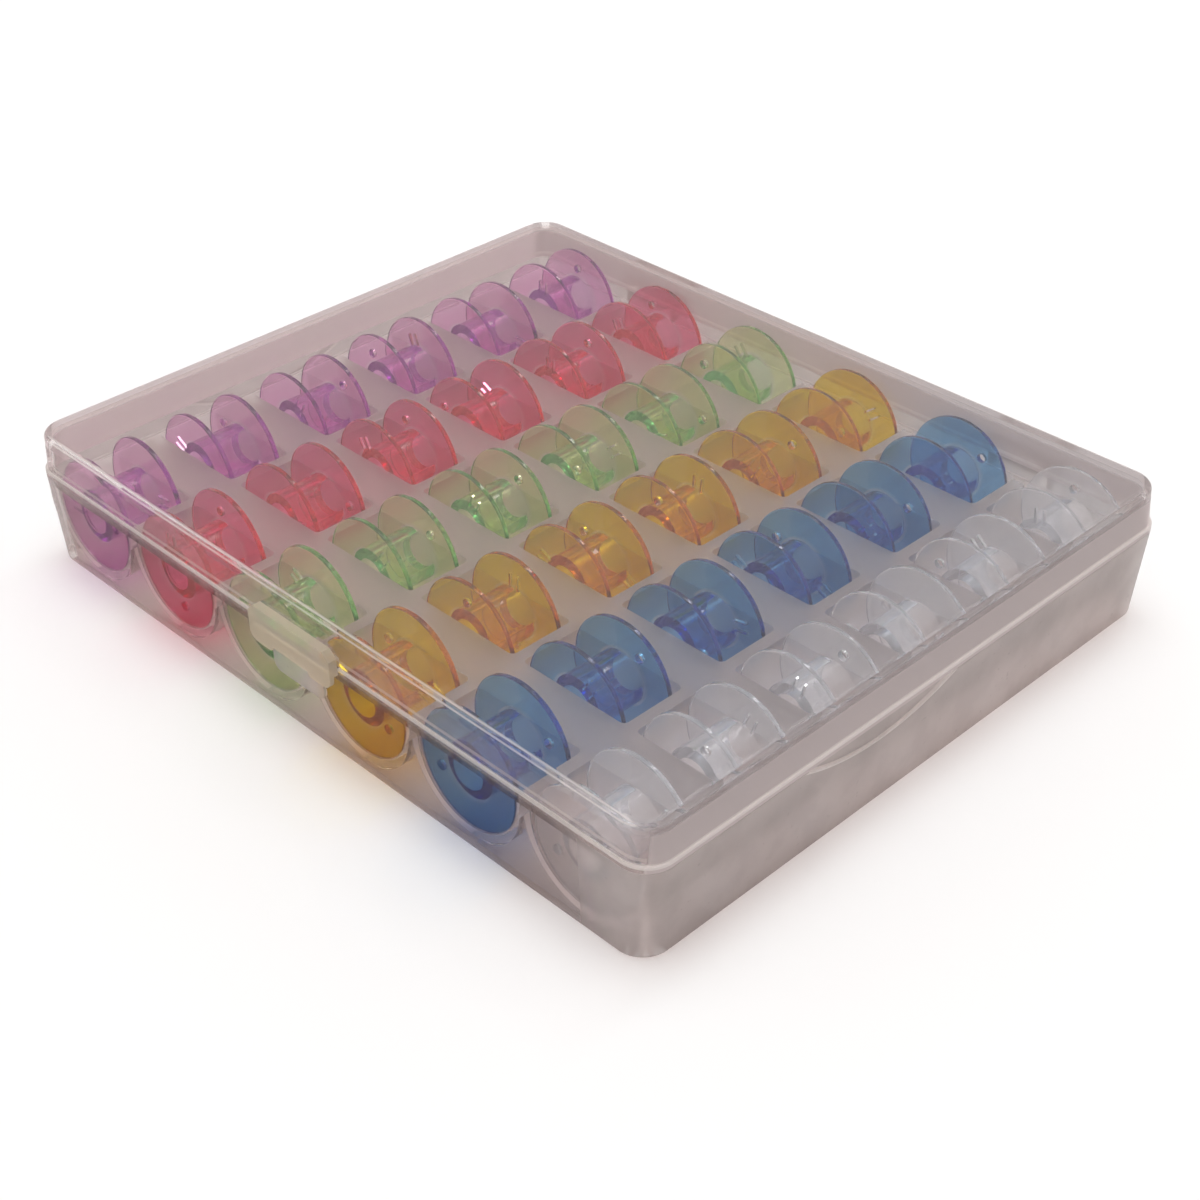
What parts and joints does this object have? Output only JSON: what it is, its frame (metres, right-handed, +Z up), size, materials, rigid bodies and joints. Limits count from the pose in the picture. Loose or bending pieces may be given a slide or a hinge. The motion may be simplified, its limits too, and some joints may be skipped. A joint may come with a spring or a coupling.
{
  "type": "thread spool storage box",
  "caption": "Clear hinged box with rows of coloured transparent bobbins standing in moulded half-round slots.",
  "frame": {"origin": "in the plane the box stands on, below the middle of its whole outline, latch and hinges included", "axes": "+X along the long side from the purple bobbins to the clear ones, -Y towards the latch, +Z up"},
  "size_m": [0.1494, 0.129, 0.0252],
  "materials": {
    "tray_plastic": "clear polypropylene, slightly milky, faintly textured inside",
    "lid_plastic": "clear polypropylene, smooth",
    "purple_plastic": "transparent tinted polystyrene, glossy",
    "red_plastic": "transparent tinted polystyrene, glossy",
    "green_plastic": "transparent tinted polystyrene, glossy",
    "amber_plastic": "transparent tinted polystyrene, glossy",
    "blue_plastic": "transparent tinted polystyrene, glossy",
    "clear_plastic": "transparent untinted polystyrene, glossy"
  },
  "bodies": {
    "base": {"base_tray": "tray_plastic"},
    "lid": {"lid": "lid_plastic"},
    "bobbin_purple_1": {"bobbin_purple_1": "purple_plastic"},
    "bobbin_purple_2": {"bobbin_purple_2": "purple_plastic"},
    "bobbin_purple_3": {"bobbin_purple_3": "purple_plastic"},
    "bobbin_purple_4": {"bobbin_purple_4": "purple_plastic"},
    "bobbin_purple_5": {"bobbin_purple_5": "purple_plastic"},
    "bobbin_purple_6": {"bobbin_purple_6": "purple_plastic"},
    "bobbin_red_1": {"bobbin_red_1": "red_plastic"},
    "bobbin_red_2": {"bobbin_red_2": "red_plastic"},
    "bobbin_red_3": {"bobbin_red_3": "red_plastic"},
    "bobbin_red_4": {"bobbin_red_4": "red_plastic"},
    "bobbin_red_5": {"bobbin_red_5": "red_plastic"},
    "bobbin_red_6": {"bobbin_red_6": "red_plastic"},
    "bobbin_green_1": {"bobbin_green_1": "green_plastic"},
    "bobbin_green_2": {"bobbin_green_2": "green_plastic"},
    "bobbin_green_3": {"bobbin_green_3": "green_plastic"},
    "bobbin_green_4": {"bobbin_green_4": "green_plastic"},
    "bobbin_green_5": {"bobbin_green_5": "green_plastic"},
    "bobbin_green_6": {"bobbin_green_6": "green_plastic"},
    "bobbin_amber_1": {"bobbin_amber_1": "amber_plastic"},
    "bobbin_amber_2": {"bobbin_amber_2": "amber_plastic"},
    "bobbin_amber_3": {"bobbin_amber_3": "amber_plastic"},
    "bobbin_amber_4": {"bobbin_amber_4": "amber_plastic"},
    "bobbin_amber_5": {"bobbin_amber_5": "amber_plastic"},
    "bobbin_amber_6": {"bobbin_amber_6": "amber_plastic"},
    "bobbin_blue_1": {"bobbin_blue_1": "blue_plastic"},
    "bobbin_blue_2": {"bobbin_blue_2": "blue_plastic"},
    "bobbin_blue_3": {"bobbin_blue_3": "blue_plastic"},
    "bobbin_blue_4": {"bobbin_blue_4": "blue_plastic"},
    "bobbin_blue_5": {"bobbin_blue_5": "blue_plastic"},
    "bobbin_blue_6": {"bobbin_blue_6": "blue_plastic"},
    "bobbin_clear_1": {"bobbin_clear_1": "clear_plastic"},
    "bobbin_clear_2": {"bobbin_clear_2": "clear_plastic"},
    "bobbin_clear_3": {"bobbin_clear_3": "clear_plastic"},
    "bobbin_clear_4": {"bobbin_clear_4": "clear_plastic"},
    "bobbin_clear_5": {"bobbin_clear_5": "clear_plastic"},
    "bobbin_clear_6": {"bobbin_clear_6": "clear_plastic"}
  },
  "joints": [
    {"name": "lid_hinge", "type": "hinge", "parent": "base", "child": "lid", "pos_m": [0, 0.06236, 0.01592], "axis": [-1, 0, 0], "range_deg": [0, 180]},
    {"name": "bobbin_purple_1_spin", "type": "hinge", "parent": "base", "child": "bobbin_purple_1", "pos_m": [-0.061, -0.05441, 0.01193], "axis": [0, 1, 0], "continuous": true},
    {"name": "bobbin_purple_2_spin", "type": "hinge", "parent": "base", "child": "bobbin_purple_2", "pos_m": [-0.061, -0.03331, 0.01193], "axis": [0, 1, 0], "continuous": true},
    {"name": "bobbin_purple_3_spin", "type": "hinge", "parent": "base", "child": "bobbin_purple_3", "pos_m": [-0.061, -0.01221, 0.01193], "axis": [0, 1, 0], "continuous": true},
    {"name": "bobbin_purple_4_spin", "type": "hinge", "parent": "base", "child": "bobbin_purple_4", "pos_m": [-0.061, 0.0089, 0.01193], "axis": [0, 1, 0], "continuous": true},
    {"name": "bobbin_purple_5_spin", "type": "hinge", "parent": "base", "child": "bobbin_purple_5", "pos_m": [-0.061, 0.03, 0.01193], "axis": [0, 1, 0], "continuous": true},
    {"name": "bobbin_purple_6_spin", "type": "hinge", "parent": "base", "child": "bobbin_purple_6", "pos_m": [-0.061, 0.0511, 0.01193], "axis": [0, 1, 0], "continuous": true},
    {"name": "bobbin_red_1_spin", "type": "hinge", "parent": "base", "child": "bobbin_red_1", "pos_m": [-0.03676, -0.05441, 0.01193], "axis": [0, 1, 0], "continuous": true},
    {"name": "bobbin_red_2_spin", "type": "hinge", "parent": "base", "child": "bobbin_red_2", "pos_m": [-0.03676, -0.03331, 0.01193], "axis": [0, 1, 0], "continuous": true},
    {"name": "bobbin_red_3_spin", "type": "hinge", "parent": "base", "child": "bobbin_red_3", "pos_m": [-0.03676, -0.01221, 0.01193], "axis": [0, 1, 0], "continuous": true},
    {"name": "bobbin_red_4_spin", "type": "hinge", "parent": "base", "child": "bobbin_red_4", "pos_m": [-0.03676, 0.0089, 0.01193], "axis": [0, 1, 0], "continuous": true},
    {"name": "bobbin_red_5_spin", "type": "hinge", "parent": "base", "child": "bobbin_red_5", "pos_m": [-0.03676, 0.03, 0.01193], "axis": [0, 1, 0], "continuous": true},
    {"name": "bobbin_red_6_spin", "type": "hinge", "parent": "base", "child": "bobbin_red_6", "pos_m": [-0.03676, 0.0511, 0.01193], "axis": [0, 1, 0], "continuous": true},
    {"name": "bobbin_green_1_spin", "type": "hinge", "parent": "base", "child": "bobbin_green_1", "pos_m": [-0.01252, -0.05441, 0.01193], "axis": [0, 1, 0], "continuous": true},
    {"name": "bobbin_green_2_spin", "type": "hinge", "parent": "base", "child": "bobbin_green_2", "pos_m": [-0.01252, -0.03331, 0.01193], "axis": [0, 1, 0], "continuous": true},
    {"name": "bobbin_green_3_spin", "type": "hinge", "parent": "base", "child": "bobbin_green_3", "pos_m": [-0.01252, -0.01221, 0.01193], "axis": [0, 1, 0], "continuous": true},
    {"name": "bobbin_green_4_spin", "type": "hinge", "parent": "base", "child": "bobbin_green_4", "pos_m": [-0.01252, 0.0089, 0.01193], "axis": [0, 1, 0], "continuous": true},
    {"name": "bobbin_green_5_spin", "type": "hinge", "parent": "base", "child": "bobbin_green_5", "pos_m": [-0.01252, 0.03, 0.01193], "axis": [0, 1, 0], "continuous": true},
    {"name": "bobbin_green_6_spin", "type": "hinge", "parent": "base", "child": "bobbin_green_6", "pos_m": [-0.01252, 0.0511, 0.01193], "axis": [0, 1, 0], "continuous": true},
    {"name": "bobbin_amber_1_spin", "type": "hinge", "parent": "base", "child": "bobbin_amber_1", "pos_m": [0.01172, -0.05441, 0.01193], "axis": [0, 1, 0], "continuous": true},
    {"name": "bobbin_amber_2_spin", "type": "hinge", "parent": "base", "child": "bobbin_amber_2", "pos_m": [0.01172, -0.03331, 0.01193], "axis": [0, 1, 0], "continuous": true},
    {"name": "bobbin_amber_3_spin", "type": "hinge", "parent": "base", "child": "bobbin_amber_3", "pos_m": [0.01172, -0.01221, 0.01193], "axis": [0, 1, 0], "continuous": true},
    {"name": "bobbin_amber_4_spin", "type": "hinge", "parent": "base", "child": "bobbin_amber_4", "pos_m": [0.01172, 0.0089, 0.01193], "axis": [0, 1, 0], "continuous": true},
    {"name": "bobbin_amber_5_spin", "type": "hinge", "parent": "base", "child": "bobbin_amber_5", "pos_m": [0.01172, 0.03, 0.01193], "axis": [0, 1, 0], "continuous": true},
    {"name": "bobbin_amber_6_spin", "type": "hinge", "parent": "base", "child": "bobbin_amber_6", "pos_m": [0.01172, 0.0511, 0.01193], "axis": [0, 1, 0], "continuous": true},
    {"name": "bobbin_blue_1_spin", "type": "hinge", "parent": "base", "child": "bobbin_blue_1", "pos_m": [0.03596, -0.05441, 0.01193], "axis": [0, 1, 0], "continuous": true},
    {"name": "bobbin_blue_2_spin", "type": "hinge", "parent": "base", "child": "bobbin_blue_2", "pos_m": [0.03596, -0.03331, 0.01193], "axis": [0, 1, 0], "continuous": true},
    {"name": "bobbin_blue_3_spin", "type": "hinge", "parent": "base", "child": "bobbin_blue_3", "pos_m": [0.03596, -0.01221, 0.01193], "axis": [0, 1, 0], "continuous": true},
    {"name": "bobbin_blue_4_spin", "type": "hinge", "parent": "base", "child": "bobbin_blue_4", "pos_m": [0.03596, 0.0089, 0.01193], "axis": [0, 1, 0], "continuous": true},
    {"name": "bobbin_blue_5_spin", "type": "hinge", "parent": "base", "child": "bobbin_blue_5", "pos_m": [0.03596, 0.03, 0.01193], "axis": [0, 1, 0], "continuous": true},
    {"name": "bobbin_blue_6_spin", "type": "hinge", "parent": "base", "child": "bobbin_blue_6", "pos_m": [0.03596, 0.0511, 0.01193], "axis": [0, 1, 0], "continuous": true},
    {"name": "bobbin_clear_1_spin", "type": "hinge", "parent": "base", "child": "bobbin_clear_1", "pos_m": [0.0602, -0.05441, 0.01193], "axis": [0, 1, 0], "continuous": true},
    {"name": "bobbin_clear_2_spin", "type": "hinge", "parent": "base", "child": "bobbin_clear_2", "pos_m": [0.0602, -0.03331, 0.01193], "axis": [0, 1, 0], "continuous": true},
    {"name": "bobbin_clear_3_spin", "type": "hinge", "parent": "base", "child": "bobbin_clear_3", "pos_m": [0.0602, -0.01221, 0.01193], "axis": [0, 1, 0], "continuous": true},
    {"name": "bobbin_clear_4_spin", "type": "hinge", "parent": "base", "child": "bobbin_clear_4", "pos_m": [0.0602, 0.0089, 0.01193], "axis": [0, 1, 0], "continuous": true},
    {"name": "bobbin_clear_5_spin", "type": "hinge", "parent": "base", "child": "bobbin_clear_5", "pos_m": [0.0602, 0.03, 0.01193], "axis": [0, 1, 0], "continuous": true},
    {"name": "bobbin_clear_6_spin", "type": "hinge", "parent": "base", "child": "bobbin_clear_6", "pos_m": [0.0602, 0.0511, 0.01193], "axis": [0, 1, 0], "continuous": true}
  ]
}
